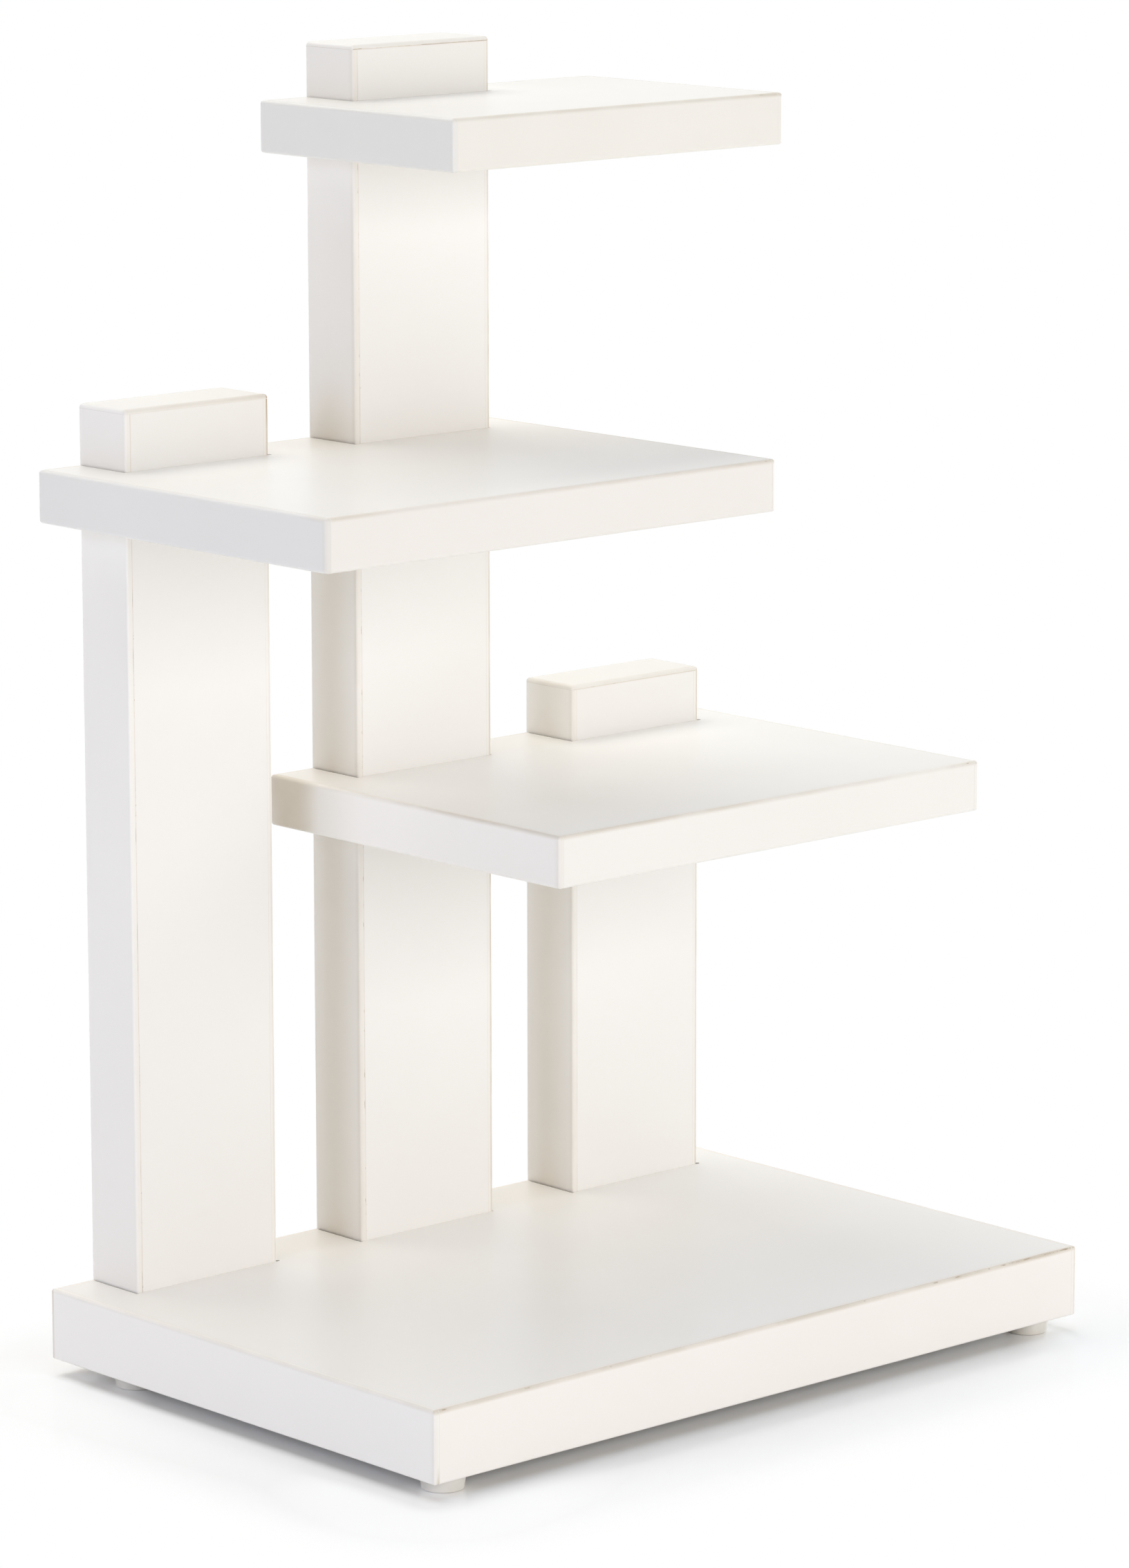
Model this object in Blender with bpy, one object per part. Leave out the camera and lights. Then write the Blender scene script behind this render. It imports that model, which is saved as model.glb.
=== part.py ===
"""White tiered countertop display, in metres, +Z up, its front towards -Y.

A base board stands on four push-in feet. Three flat posts sit in notches in the back edges of the base and of
three shelves, so that all the backs lie in one plane, and dowels hold each post to each board that it crosses.
The boards are white faced chipboard with thick plastic bands on their edges, rounded along every outer corner.
The origin is on the ground, under the middle of the base.
"""

from collections import namedtuple
from math import cos, pi, radians, sin

import bmesh
import bpy
from mathutils import Matrix, Vector

# Base board
BASE_WIDTH = 0.300
BASE_DEPTH = 0.200
BASE_THICKNESS = 0.025

# Shelves: each depth runs forward from the common back plane, each clear height up from the board below
SHELF_THICKNESS = 0.018
LOWER_SHELF_DEPTH = 0.150
LOWER_SHELF_CLEAR_HEIGHT = 0.149
LOWER_SHELF_OVERHANG = 0.019  # past the left side of the centre post
MIDDLE_SHELF_DEPTH = 0.150
MIDDLE_SHELF_CLEAR_HEIGHT = 0.099
MIDDLE_SHELF_OVERHANG = 0.019  # past the right side of the centre post
TOP_SHELF_DEPTH = 0.100
TOP_SHELF_CLEAR_HEIGHT = 0.100
TOP_SHELF_LEFT_OVERHANG = 0.0205
TOP_SHELF_RIGHT_OVERHANG = 0.0695

# Posts: each rise is above the highest shelf that the post carries
POST_WIDTH = 0.062
POST_THICKNESS = 0.025
POST_MARGIN = 0.018  # from a side of the base to the outer post
LEFT_POST_RISE = 0.021
CENTRE_POST_RISE = 0.019
RIGHT_POST_RISE = 0.020
POST_FIT = 0.0003  # gap round a post in its notch

# Edge bands
BAND_THICKNESS = 0.002
POST_TOP_BAND_THICKNESS = 0.0015
GLUE_LINE = 0.0002

# Roundings of the bands, along their level edges and at the upright corners
BASE_EDGE_RADIUS = 0.0009
BASE_CORNER_RADIUS = 0.0005
SHELF_EDGE_RADIUS = 0.0012
LOWER_SHELF_CORNER_RADIUS = 0.0008
MIDDLE_SHELF_CORNER_RADIUS = 0.0016
TOP_SHELF_CORNER_RADIUS = 0.0006
POST_TOP_RADIUS = 0.0014
POST_CORNER_RADIUS = 0.0007
ROUNDING_SEGMENTS = 4

# Dowels
DOWEL_DIAMETER = 0.008
DOWEL_LENGTH = 0.035
DOWEL_SPACING = 0.032
DOWEL_CHAMFER = 0.001
DOWEL_BACK_WALL = 0.010  # board left behind the hole in a post
DOWEL_FIT = 0.0002  # gap round a dowel
DOWEL_END_GAP = 0.001  # glue space at each end of a dowel
DOWEL_SIDES = 16

# Feet
FOOT_DIAMETER = 0.0155
FOOT_HEIGHT = 0.0055
FOOT_TAPER = 0.0006  # how far the rim draws in on its way down
FOOT_ROUND = 0.0006
FOOT_ROUND_STEPS = 4
FOOT_INSET_FRONT = 0.011
FOOT_INSET_BACK = 0.030
FOOT_SEAT = 0.0002  # gap between a foot and the underside of the base
STEM_DIAMETER = 0.005
STEM_LENGTH = 0.010
STEM_CHAMFER = 0.0008
STEM_FIT = 0.00015
STEM_END_GAP = 0.001
STEM_WALL = 0.002  # board left between a stem's hole and the notch beside it
FOOT_STEPS = 24

# Places that follow from those sizes
BACK = BASE_DEPTH / 2
POST_FRONT = BACK - POST_THICKNESS
BAND_INSET = BAND_THICKNESS + GLUE_LINE
POST_TOP_INSET = POST_TOP_BAND_THICKNESS + GLUE_LINE
OUTER_POST_LEFT = BASE_WIDTH / 2 - POST_MARGIN - POST_WIDTH
LOWER_SHELF_BOTTOM = FOOT_HEIGHT + BASE_THICKNESS + LOWER_SHELF_CLEAR_HEIGHT
MIDDLE_SHELF_BOTTOM = LOWER_SHELF_BOTTOM + SHELF_THICKNESS + MIDDLE_SHELF_CLEAR_HEIGHT
TOP_SHELF_BOTTOM = MIDDLE_SHELF_BOTTOM + SHELF_THICKNESS + TOP_SHELF_CLEAR_HEIGHT
STEM_HOLE_RADIUS = STEM_DIAMETER / 2 + STEM_FIT
FOOT_INSET_SIDE = POST_MARGIN - POST_FIT - STEM_WALL - STEM_HOLE_RADIUS
DOWEL_IN_POST = POST_THICKNESS - DOWEL_BACK_WALL - DOWEL_END_GAP

CUTTER_OVERRUN = 0.005
SMOOTH_ANGLE = radians(30)

DIRECTIONS = {
    "left": Vector((-1, 0, 0)),
    "right": Vector((1, 0, 0)),
    "front": Vector((0, -1, 0)),
    "back": Vector((0, 1, 0)),
    "bottom": Vector((0, 0, -1)),
    "top": Vector((0, 0, 1)),
}

Post = namedtuple("Post", "name left top")
Board = namedtuple("Board", "name left right depth bottom thickness edge_radius corner_radius posts")

LEFT_POST = Post(
    "left_post", -OUTER_POST_LEFT - POST_WIDTH, MIDDLE_SHELF_BOTTOM + SHELF_THICKNESS + LEFT_POST_RISE
)
CENTRE_POST = Post("centre_post", -POST_WIDTH / 2, TOP_SHELF_BOTTOM + SHELF_THICKNESS + CENTRE_POST_RISE)
RIGHT_POST = Post("right_post", OUTER_POST_LEFT, LOWER_SHELF_BOTTOM + SHELF_THICKNESS + RIGHT_POST_RISE)
POSTS = (LEFT_POST, CENTRE_POST, RIGHT_POST)

CENTRE_POST_RIGHT = CENTRE_POST.left + POST_WIDTH
BASE = Board(
    "base",
    -BASE_WIDTH / 2,
    BASE_WIDTH / 2,
    BASE_DEPTH,
    FOOT_HEIGHT,
    BASE_THICKNESS,
    BASE_EDGE_RADIUS,
    BASE_CORNER_RADIUS,
    POSTS,
)
LOWER_SHELF = Board(
    "lower_shelf",
    CENTRE_POST.left - LOWER_SHELF_OVERHANG,
    BASE.right,
    LOWER_SHELF_DEPTH,
    LOWER_SHELF_BOTTOM,
    SHELF_THICKNESS,
    SHELF_EDGE_RADIUS,
    LOWER_SHELF_CORNER_RADIUS,
    (CENTRE_POST, RIGHT_POST),
)
MIDDLE_SHELF = Board(
    "middle_shelf",
    BASE.left,
    CENTRE_POST_RIGHT + MIDDLE_SHELF_OVERHANG,
    MIDDLE_SHELF_DEPTH,
    MIDDLE_SHELF_BOTTOM,
    SHELF_THICKNESS,
    SHELF_EDGE_RADIUS,
    MIDDLE_SHELF_CORNER_RADIUS,
    (LEFT_POST, CENTRE_POST),
)
TOP_SHELF = Board(
    "top_shelf",
    CENTRE_POST.left - TOP_SHELF_LEFT_OVERHANG,
    CENTRE_POST_RIGHT + TOP_SHELF_RIGHT_OVERHANG,
    TOP_SHELF_DEPTH,
    TOP_SHELF_BOTTOM,
    SHELF_THICKNESS,
    SHELF_EDGE_RADIUS,
    TOP_SHELF_CORNER_RADIUS,
    (CENTRE_POST,),
)
BOARDS = (BASE, LOWER_SHELF, MIDDLE_SHELF, TOP_SHELF)


def clear_scene():
    for obj in list(bpy.data.objects):
        bpy.data.objects.remove(obj, do_unlink=True)


def finish(name, colour, roughness):
    """A plain dielectric material."""
    material = bpy.data.materials.new(name)
    material.use_nodes = True
    shader = material.node_tree.nodes["Principled BSDF"]
    shader.inputs["Base Color"].default_value = (*colour, 1.0)
    shader.inputs["Roughness"].default_value = roughness
    shader.inputs["Metallic"].default_value = 0.0
    return material


def add_assembly(name, corner, parent=None):
    """An empty that the pieces of one sub-assembly hang on."""
    empty = bpy.data.objects.new(name, None)
    empty.location = corner
    empty.parent = parent
    bpy.context.scene.collection.objects.link(empty)
    return empty


def add_object(name, mesh, centre, parent, material=None):
    obj = bpy.data.objects.new(name, mesh)
    obj.parent = parent
    obj.location = Vector(centre) - parent.location
    if material:
        mesh.materials.append(material)
    bpy.context.scene.collection.objects.link(obj)
    return obj


def mesh_from(name, bm):
    mesh = bpy.data.meshes.new(name)
    bm.to_mesh(mesh)
    bm.free()
    mesh.shade_smooth()
    mesh.set_sharp_from_angle(angle=SMOOTH_ANGLE)
    return mesh


def add_block(name, low, high, parent, material=None, exposed=(), edge_radius=0.0, corner_radius=0.0):
    """A block between two corners, rounded along each level edge and upright corner of its exposed sides."""
    low, high = Vector(low), Vector(high)
    bm = bmesh.new()
    bmesh.ops.create_cube(bm, size=1.0, matrix=Matrix.Diagonal((*(high - low), 1.0)))
    bm.normal_update()
    outward = [DIRECTIONS[side] for side in exposed]
    shown = {face for face in bm.faces if any(face.normal.dot(way) > 0.9 for way in outward)}
    largest = max(edge_radius, corner_radius)
    weight = bm.edges.layers.float.new("bevel_weight_edge")
    for edge in bm.edges:
        if shown.issuperset(edge.link_faces):
            level = edge.verts[0].co.z == edge.verts[1].co.z
            edge[weight] = (edge_radius if level else corner_radius) / largest
    block = add_object(name, mesh_from(name, bm), (low + high) / 2, parent, material)
    if exposed:
        rounding = block.modifiers.new("rounding", "BEVEL")
        rounding.limit_method = "WEIGHT"
        rounding.width = largest
        rounding.segments = ROUNDING_SEGMENTS
        rounding.harden_normals = True
    return block


def add_rod(name, radius, length, sides, centre, parent, material=None, chamfer=0.0):
    """A round bar along its own Z, with chamfered ends."""
    bm = bmesh.new()
    bmesh.ops.create_cone(
        bm, cap_ends=True, segments=sides, radius1=radius, radius2=radius, depth=length
    )
    if chamfer:
        rims = [edge for edge in bm.edges if edge.verts[0].co.z * edge.verts[1].co.z > 0]
        bmesh.ops.bevel(bm, geom=rims, offset=chamfer, segments=1, affect="EDGES")
    return add_object(name, mesh_from(name, bm), centre, parent, material)


def make_cutter(obj):
    obj.hide_render = True
    obj.display_type = "WIRE"
    return obj


def cut(target, tool):
    modifier = target.modifiers.new(tool.name, "BOOLEAN")
    modifier.operation = "DIFFERENCE"
    modifier.solver = "EXACT"
    modifier.object = tool


def add_notch_cutter(post, parent):
    """The space that a post takes out of the back edge of every board it crosses."""
    low = (post.left - POST_FIT, POST_FRONT - POST_FIT, FOOT_HEIGHT - CUTTER_OVERRUN)
    high = (post.left + POST_WIDTH + POST_FIT, BACK + CUTTER_OVERRUN, post.top + CUTTER_OVERRUN)
    return make_cutter(add_block(f"{post.name}_notch_cutter", low, high, parent))


def back_gaps(board):
    """The stretches of a board's back edge between its side bands and its notches, as (left, right)."""
    starts = [board.left + BAND_INSET] + [post.left + POST_WIDTH + POST_FIT for post in board.posts]
    ends = [post.left - POST_FIT for post in board.posts] + [board.right - BAND_INSET]
    return list(zip(starts, ends))


def add_board(board, notches, root, panel_finish, band_finish):
    """One board: its notched panel, then the side bands over the ends of the front and back bands."""
    frame = add_assembly(board.name, (board.left, BACK, board.bottom), root)
    front = BACK - board.depth
    bottom, top = board.bottom, board.bottom + board.thickness
    inner_left, inner_right = board.left + BAND_INSET, board.right - BAND_INSET

    panel = add_block(
        f"{board.name}_panel",
        (inner_left, front + BAND_INSET, bottom),
        (inner_right, BACK - BAND_INSET, top),
        frame,
        panel_finish,
    )
    for post in board.posts:
        cut(panel, notches[post])

    side_bands = {
        "left": (board.left, board.left + BAND_THICKNESS),
        "right": (board.right - BAND_THICKNESS, board.right),
    }
    for side, (low_x, high_x) in side_bands.items():
        add_block(
            f"{board.name}_{side}_edge_band",
            (low_x, front, bottom),
            (high_x, BACK, top),
            frame,
            band_finish,
            exposed=(side, "front", "back", "bottom", "top"),
            edge_radius=board.edge_radius,
            corner_radius=board.corner_radius,
        )
    add_block(
        f"{board.name}_front_edge_band",
        (inner_left, front, bottom),
        (inner_right, front + BAND_THICKNESS, top),
        frame,
        band_finish,
        exposed=("front", "bottom", "top"),
        edge_radius=board.edge_radius,
    )
    for number, (low_x, high_x) in enumerate(back_gaps(board), start=1):
        add_block(
            f"{board.name}_back_edge_band_{number}",
            (low_x, BACK - BAND_THICKNESS, bottom),
            (high_x, BACK, top),
            frame,
            band_finish,
            exposed=("back", "bottom", "top"),
            edge_radius=board.edge_radius,
        )
    return panel


def add_post(post, root, panel_finish, band_finish):
    """One post: its panel between two side bands, and a top band over all three."""
    frame = add_assembly(post.name, (post.left, BACK, FOOT_HEIGHT), root)
    right = post.left + POST_WIDTH
    shoulder = post.top - POST_TOP_INSET

    panel = add_block(
        f"{post.name}_panel",
        (post.left + BAND_INSET, POST_FRONT, FOOT_HEIGHT),
        (right - BAND_INSET, BACK, shoulder),
        frame,
        panel_finish,
    )
    side_bands = {
        "left": (post.left, post.left + BAND_THICKNESS),
        "right": (right - BAND_THICKNESS, right),
    }
    for side, (low_x, high_x) in side_bands.items():
        add_block(
            f"{post.name}_{side}_edge_band",
            (low_x, POST_FRONT, FOOT_HEIGHT),
            (high_x, BACK, shoulder),
            frame,
            band_finish,
            exposed=(side, "front", "back"),
            corner_radius=POST_CORNER_RADIUS,
        )
    add_block(
        f"{post.name}_top_edge_band",
        (post.left, POST_FRONT, post.top - POST_TOP_BAND_THICKNESS),
        (right, BACK, post.top),
        frame,
        band_finish,
        exposed=("left", "right", "front", "back", "top"),
        edge_radius=POST_TOP_RADIUS,
        corner_radius=POST_CORNER_RADIUS,
    )
    return panel


def add_dowels(board, post, panels, root, dowel_finish):
    """Two dowels from the notch of a board into the front of a post, with their holes in both panels."""
    middle_x = post.left + POST_WIDTH / 2
    middle_y = POST_FRONT + DOWEL_IN_POST - DOWEL_LENGTH / 2
    middle_z = board.bottom + board.thickness / 2
    for side, offset in (("left", -DOWEL_SPACING / 2), ("right", DOWEL_SPACING / 2)):
        name = f"{board.name}_{post.name}_{side}_dowel"
        centre = (middle_x + offset, middle_y, middle_z)
        dowel = add_rod(
            name, DOWEL_DIAMETER / 2, DOWEL_LENGTH, DOWEL_SIDES, centre, root, dowel_finish, DOWEL_CHAMFER
        )
        hole = add_rod(
            f"{name}_hole_cutter",
            DOWEL_DIAMETER / 2 + DOWEL_FIT,
            DOWEL_LENGTH + 2 * DOWEL_END_GAP,
            DOWEL_SIDES,
            centre,
            root,
        )
        make_cutter(hole)
        for rod in (dowel, hole):
            rod.rotation_euler.x = pi / 2
        for panel in (panels[board], panels[post]):
            cut(panel, hole)


def foot_profile():
    """Half section of a foot as (radius, height), from the top of its stem down to the middle of its sole."""
    stem = STEM_DIAMETER / 2
    stem_top = FOOT_HEIGHT + STEM_LENGTH
    rim_top = FOOT_HEIGHT - FOOT_SEAT
    rim = FOOT_DIAMETER / 2
    corner = rim - FOOT_TAPER - FOOT_ROUND
    points = [
        (0.0, stem_top),
        (stem - STEM_CHAMFER, stem_top),
        (stem, stem_top - STEM_CHAMFER),
        (stem, rim_top),
        (rim, rim_top),
    ]
    for step in range(FOOT_ROUND_STEPS + 1):
        angle = step / FOOT_ROUND_STEPS * pi / 2
        points.append((corner + FOOT_ROUND * cos(angle), FOOT_ROUND * (1 - sin(angle))))
    return points + [(0.0, 0.0)]


def foot_mesh(material):
    mesh = bpy.data.meshes.new("foot")
    points = [(radius, 0.0, height) for radius, height in foot_profile()]
    edges = [(i, i + 1) for i in range(len(points) - 1)]
    mesh.from_pydata(points, edges, [])
    mesh.materials.append(material)
    return mesh


def add_feet(base_panel, root, foot_finish):
    """Four push-in feet that share one turned section, with their stem holes in the base panel."""
    mesh = foot_mesh(foot_finish)
    frame = add_assembly("feet", (0.0, 0.0, 0.0), root)
    side_x = BASE_WIDTH / 2 - FOOT_INSET_SIDE
    rows = {"front": BACK - BASE_DEPTH + FOOT_INSET_FRONT, "back": BACK - FOOT_INSET_BACK}
    hole_top = FOOT_HEIGHT + STEM_LENGTH + STEM_END_GAP
    hole_length = hole_top - FOOT_HEIGHT + CUTTER_OVERRUN
    for row, y in rows.items():
        for side, x in (("left", -side_x), ("right", side_x)):
            foot = add_object(f"foot_{row}_{side}", mesh, (x, y, 0.0), frame)
            screw = foot.modifiers.new("turned", "SCREW")
            screw.steps = screw.render_steps = FOOT_STEPS
            screw.use_merge_vertices = True
            screw.merge_threshold = 0.00001
            hole = add_rod(
                f"foot_{row}_{side}_hole_cutter",
                STEM_HOLE_RADIUS,
                hole_length,
                FOOT_STEPS,
                (x, y, hole_top - hole_length / 2),
                frame,
            )
            cut(base_panel, make_cutter(hole))


def main():
    clear_scene()
    panel_finish = finish("white_faced_board", (0.80, 0.79, 0.76), 0.32)
    band_finish = finish("white_edge_band", (0.80, 0.78, 0.73), 0.38)
    dowel_finish = finish("beech_dowel", (0.62, 0.44, 0.27), 0.70)
    foot_finish = finish("off_white_plastic", (0.70, 0.67, 0.60), 0.45)

    root = add_assembly("tiered_display", (0.0, 0.0, 0.0))
    notches = {post: add_notch_cutter(post, root) for post in POSTS}
    panels = {post: add_post(post, root, panel_finish, band_finish) for post in POSTS}
    for board in BOARDS:
        panels[board] = add_board(board, notches, root, panel_finish, band_finish)
        for post in board.posts:
            add_dowels(board, post, panels, root, dowel_finish)
    add_feet(panels[BASE], root, foot_finish)


main()
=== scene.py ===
"""Looks of a white tiered countertop display: faced boards, plastic edge bands, glue lines, wear and feet.

The boards' panels and the dowels are the frame's own solids with new materials. The edge bands and feet are
modelled again with finer roundings, worn corners and chips. The glue is added: behind the bands, and in front
of the posts in their notches. Lengths are in metres, angles in degrees.
"""

from math import cos, pi, radians, sin
from typing import NamedTuple

import bpy
import numpy as np
from mathutils import Matrix, Vector, noise


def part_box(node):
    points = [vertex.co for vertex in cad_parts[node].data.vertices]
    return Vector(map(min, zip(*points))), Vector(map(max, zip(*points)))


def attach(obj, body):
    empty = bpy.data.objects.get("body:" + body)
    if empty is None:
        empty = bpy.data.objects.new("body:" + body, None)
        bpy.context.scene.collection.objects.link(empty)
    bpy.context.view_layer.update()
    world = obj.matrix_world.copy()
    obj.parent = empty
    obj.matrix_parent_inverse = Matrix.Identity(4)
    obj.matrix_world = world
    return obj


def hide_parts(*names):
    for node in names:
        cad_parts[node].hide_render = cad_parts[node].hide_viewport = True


# Camera, at the photograph's viewing angle
CAMERA_TURN = 42.30  # from +Y towards +X
CAMERA_PITCH = 10.99  # below the horizon
CAMERA_ROLL = 0.085
CAMERA_AIM = (-0.0021, 0.0, 0.2020)
CAMERA_DISTANCE = 2.1837
CAMERA_LENS = 146.33  # mm
CAMERA_SENSOR = 36.0  # mm, along the image's long side
CAMERA_CLIP = 50.0

# Light, and the background that is seen
AMBIENT_COLOUR = (1.0, 0.758, 0.452)
AMBIENT_STRENGTH = 0.236
BACKGROUND_COLOUR = (1.0, 1.0, 1.0)
BACKGROUND_STRENGTH = 1.0
LIGHTS = (  # name, place, aim, width, height, power, colour
    ("front_softbox", (0.0, -2.2, 0.45), (0.0, -1.41, -0.17), 2.2, 1.6, 34.1, (0.90, 0.935, 1.0)),
    ("left_softbox", (-1.6, 0.0, 0.45), (-0.96, 0.0, -0.32), 0.9, 1.2, 11.8, (0.663, 0.769, 1.0)),
    ("right_softbox", (1.8, 0.0, 0.6), (0.0, 0.0, 0.2), 1.4, 1.4, 23.9, (0.736, 0.87, 1.0)),
    ("top_softbox", (0.0, 0.0, 2.0), (0.0, 0.0, 0.2), 1.8, 1.8, 11.3, (0.604, 0.775, 1.0)),
    ("back_softbox", (0.0, 1.0, 1.9), (0.0, 0.0, 0.2), 1.8, 1.2, 18.1, (1.0, 0.986, 0.924)),
)

# Floor, where it has gone over into plain white, and the painted light on it beside the base
FLOOR_SIZE = 16.0
FLOOR_WHITE = (0.90, 0.90, 0.90)
FLOOR_SEEN = (1.0, 0.993, 0.975)  # to the camera and in reflections
FLOOR_ROUGHNESS = 0.15
FLOOR_SPECULAR = 0.25
WHITE_REACH = (0.008, 0.065)  # from the base, where the white begins and where it is full
PAINTED_LIGHT_REACH = (-0.0015, 0.004)  # past the base's left side, over which painted light makes the floor brighter than elsewhere
PAINTED_LIGHT_SHARES = (0.28, 0.62)  # of painted light, as white, there: at the base's front and at its back
CORNER_PAINTED_LIGHT_SHARE = 0.7  # of painted light, as white, around the base's front left corner
CORNER_PAINTED_LIGHT_REACH = (0.030, 0.085)  # from the corner, where that begins to fade and where it has gone
CORNER_PAINTED_LIGHT_RISE = 0.014  # from the base, over which it sets in

# Finishes: a grain is the scale and detail of a noise, and a bump its strength and its height
MIDDLE = (0.3, 0.7)  # of a noise, between which one shade goes over into the other
NARROW_MIDDLE = (0.35, 0.65)
PLAIN_DETAIL = 2.0
# brown of real dirt and specks, and also of the painted shade and painted shadow spots at the posts' feet
DIRT_AND_SHADE_BROWN = (0.14, 0.105, 0.08)
CORE_BROWN = (0.40, 0.29, 0.19)  # the chipboard under the facing

# Faced board
BOARD_WHITE = (0.892, 0.859, 0.809)
BOARD_SHADE = (0.880, 0.846, 0.796)
BOARD_GRAIN = (9.0, 3.0)
BOARD_SMEAR_GRAIN = (18.0, 4.0)
BOARD_ROUGHNESS = (0.28, 0.34)
BOARD_PEARL_GRAIN = (1100.0, 1.0)
BOARD_BUMP = (0.02, 0.00005)
SPECK_SCALE = 38.0  # cells to a metre
SPECK_SHARE = 0.07  # of the cells hold a speck
SPECK_RADIUS = 0.00026
SPECK_CORE = 0.6  # of the radius
SPECK_STEP = 0.001  # between a cell with a speck and one without
SPECK_STRENGTH = 0.6

# The rims of a facing, beside the seams
RIM_REACH = 0.0005
RIM_STRENGTH = 0.3
RIM_PATCH_GRAIN = (26.0, 3.0)
RIM_PATCHES = (0.42, 0.66)  # of that noise, between a whole rim and a chipped one
RIM_BREAK_GRAIN = (520.0, 3.0)
RIM_BREAKS = (0.60, 0.80)  # of that noise, between no chip and the deepest
RIM_BREAK_DEPTH = 0.0008

# Edge band, with its grime, painted shade, nicks and chips
BAND_WHITE = (0.898, 0.859, 0.798)
BAND_SHADE = (0.884, 0.845, 0.783)
BAND_TINTS = {  # multipliers on the band colour, for each board and apart for its left bands
    "base": (1.030, 1.012, 1.008),
    "base_left": (1.040, 1.042, 1.048),
    "middle_shelf": (0.957, 0.945, 0.940),
    "middle_shelf_left": (0.894, 0.900, 0.909),
    "top_shelf": (0.955, 0.950, 0.930),
    "top_shelf_left": (0.917, 0.931, 0.939),
}
PLAIN_TINT = (1.0, 1.0, 1.0)
BAND_GRAIN = (12.0, 3.0)
BAND_GLOSS_GRAIN = (30.0, 4.0)
BAND_ROUGHNESS = (0.34, 0.42)
BAND_SPECULAR = (0.5, 0.15)  # where it is clean and where it is soiled
BAND_SCRAPES = (300.0, 300.0, 700.0)
BAND_BUMP = (0.03, 0.00006)
# tan of grime, and of the painted shade at the back end of the lower shelf's left band
GRIME_AND_SHADE_TAN = (0.718, 0.649, 0.550)
RUBBED_BROWN = (0.45, 0.33, 0.22)
GRIME_AND_SHADE_GRAIN = (55.0, 4.0)
GRIME_AND_SHADE_PATCHES = (0.36, 0.64)  # of that noise, between light and heavy grime and painted shade
GRIME_AND_SHADE_STRENGTHS = (0.75, 1.1)
GRIME_ROUGHNESS = 0.15  # more than clean band
NICK_GRAIN = (170.0, 4.0)  # along the band
NICK_EDGE_GRAIN = (1100.0, 2.0)
NICK_EDGE_SHARE = 0.3  # of that noise, which frays the nicks
NICK_WEIGHT = 0.6  # of a mark's nicks, in the sum with the two noises
NICK_STEP = (0.84, 1.04)  # of the sum, between whole band and bare core
NICK_ONSET = (0.02, 0.15)  # of a mark's nicks, between none and all that the sum gives
NICK_STRENGTH = 0.75
CHIP_GRAIN = (1600.0, 2.0)
CHIP_ROUGHNESS = 0.4  # more than clean band

# Glue
GLUE_PALE = (0.830, 0.785, 0.720)
GLUE_TAN = (0.60, 0.46, 0.32)
GLUE_GRAIN = (180.0, 4.0)
GLUE_YELLOWED = (0.3, 0.8)  # at the two ends of the noise's middle
GLUE_DIRT_GRAIN = (60.0, 5.0)
GLUE_DIRT = (0.50, 0.66)  # of that noise, between clean glue and dirty
GLUE_ROUGHNESS = 0.7
GLUE_BUMP = (0.2, 0.0001)

# Feet and dowels
FOOT_WHITE = (0.76, 0.72, 0.65)
FOOT_SHADE = (0.71, 0.67, 0.60)
FOOT_GRAIN = (160.0, 4.0)
FOOT_ROUGHNESS = (0.38, 0.50)
FOOT_DEPTH_SHARE = 0.15  # of the light goes into the plastic
FOOT_DEPTH = (0.002, 0.0018, 0.0015)
FOOT_PEARL_GRAIN = (1400.0, 2.0)
FOOT_BUMP = (0.15, 0.00006)
BEECH_LIGHT = (0.66, 0.46, 0.28)
BEECH_DARK = (0.50, 0.32, 0.18)
BEECH_STRETCH = (900.0, 60.0, 900.0)
BEECH_DETAIL = 4.0
BEECH_ROUGHNESS = 0.65
BEECH_BUMP = (0.25, 0.0001)

# Shapes of bands and glue: the roundings along a board's edges and at its corners, as on the solids
ROUNDINGS = {
    "base": (0.0009, 0.0005),
    "lower_shelf": (0.0012, 0.0008),
    "middle_shelf": (0.0012, 0.0016),
    "top_shelf": (0.0012, 0.0006),
}
POST_ROUNDINGS = (0.0014, 0.0007)
ROUND_STEPS = 6  # across one side of a rounding
SHARP_ANGLE = 35.0
BAND_STEP = 0.003
CHIPPED_STEP = 0.0008  # on bands with badly nicked places
CHIPPED_NICKS = 0.5  # above which a place is badly nicked
ARRIS_WAVE = 0.00006  # unevenness of the roundings, trimmed by hand
ARRIS_WAVE_SCALE = 45.0
ARRIS_WAVE_MEAN = 0.5
ARRIS_WAVE_SHIFT = 0.0  # of its noise, apart from that of the chips
CHIP_DEPTH = 0.0006
CHIP_SCALE = 320.0
CHIP_SHIFT = 7.0
CHIP_START = 1.3  # nicks and noise together from which a rounding is chipped
CHIP_RISE = 0.3  # from there to a chip's full depth
CHIP_BARE = 2.0  # how soon a chip shows the core
GLUE_RECESS = 0.00002  # under the faces of band and board
GLUE_STEP = 0.02
NOTCH_GAP = 0.0003  # between a post and its notch, as on the solids

# Soil, painted shade and nicks along the bands' edges
ARRIS_SPREAD = 0.0016  # along level roundings, and at the foot of a corner
CAP_SPREAD = 0.0022  # along the roundings of the posts' tops
STRIP_SPREAD = 0.0024  # on the ends of the left bands, seen from the front
GAP_SHADE_SPREAD = 0.026  # painted shade over the back end of a band, in the narrow space between two posts
LINE_SPREAD = 0.0013  # along upright corners
SEAM_SPREAD = 0.0003  # beside a glue line
NICK_SPREAD = 0.0006
MARK_FALL = 1.6  # how steeply a mark fades towards its spread
MARK_END = 0.003  # over which it fades past the ends of its stretch

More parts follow.
